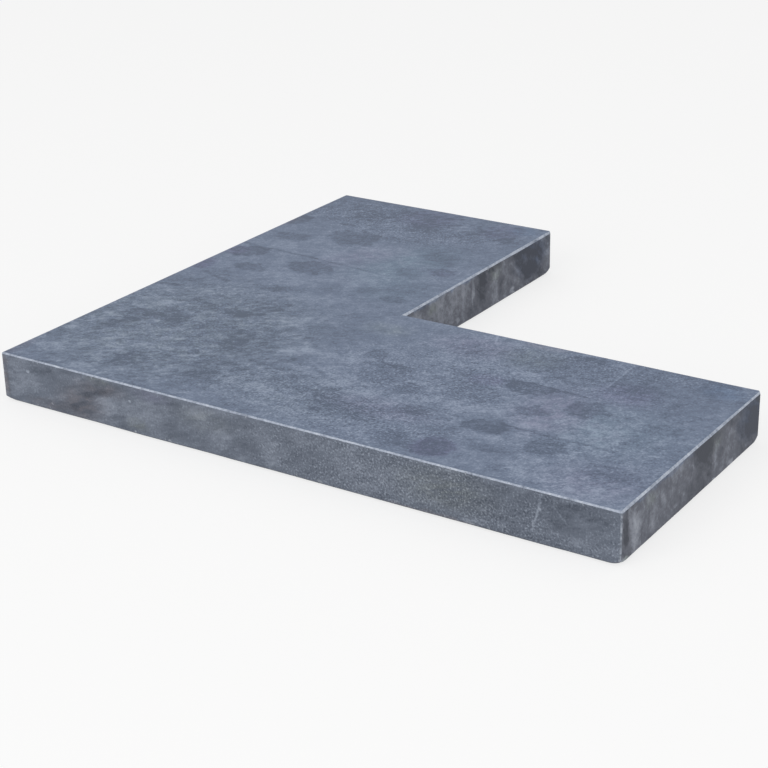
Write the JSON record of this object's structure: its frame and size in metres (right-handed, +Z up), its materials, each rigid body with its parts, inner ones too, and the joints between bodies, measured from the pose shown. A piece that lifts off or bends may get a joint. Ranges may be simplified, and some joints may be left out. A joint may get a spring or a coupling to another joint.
{
  "type": "pond edge corner stone",
  "caption": "L-shaped corner coping slab of honed blue-grey stone, with ground edge facets, for turning a stone edging round the corner of a pond.",
  "frame": {"origin": "on the bed face, under the middle of the slab's bounding rectangle", "axes": "+Z up, through the thickness, out of the honed top face; +X along the longer leg, from the outer corner of the L to its sawn end; +Y along the shorter leg; the outer corner of the L is at -X -Y"},
  "size_m": [0.47, 0.42, 0.035],
  "materials": {
    "bluestone": "matte"
  },
  "bodies": {
    "root": {"corner_stone": "bluestone"}
  },
  "joints": []
}
